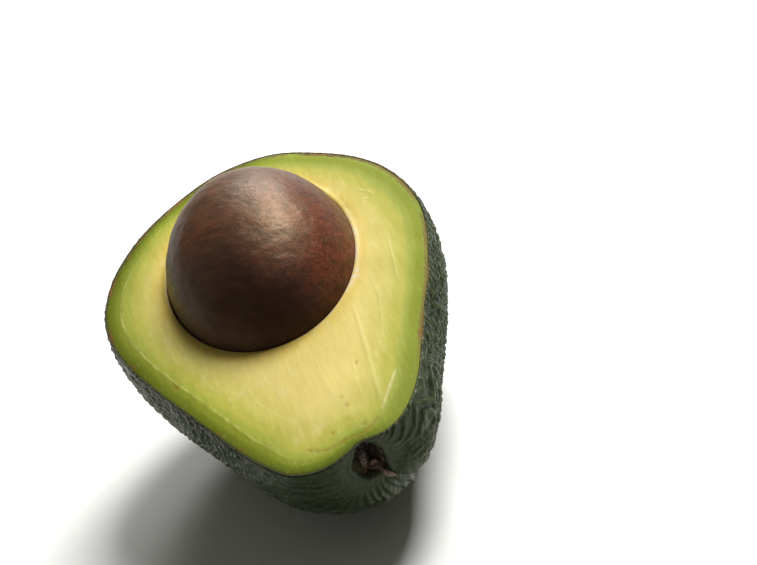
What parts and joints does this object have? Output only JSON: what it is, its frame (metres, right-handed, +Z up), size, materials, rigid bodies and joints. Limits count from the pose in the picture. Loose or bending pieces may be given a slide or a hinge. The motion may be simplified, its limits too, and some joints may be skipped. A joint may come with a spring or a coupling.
{
  "type": "avocado half",
  "caption": "Pear-shaped avocado half, cut lengthwise: thin pebbled dark green skin, green to yellow flesh, brown seed in its hollow and a stem stub. Rests on its belly, cut face up.",
  "frame": {"origin": "on the table under the middle of the half's outline, level with the flat spot that it rests on", "axes": "+Z up; the stem end towards -Y and the seed end towards +Y; +X across the half. The cut face looks up and leans 12 degrees towards the stem end."},
  "size_m": [0.0686, 0.0944, 0.055],
  "materials": {
    "skin": "satin",
    "flesh": "satin",
    "seed": "satin",
    "stem": "matte"
  },
  "bodies": {
    "root": {"skin": "skin", "flesh": "flesh", "seed": "seed", "stem_stub": "stem"}
  },
  "joints": []
}
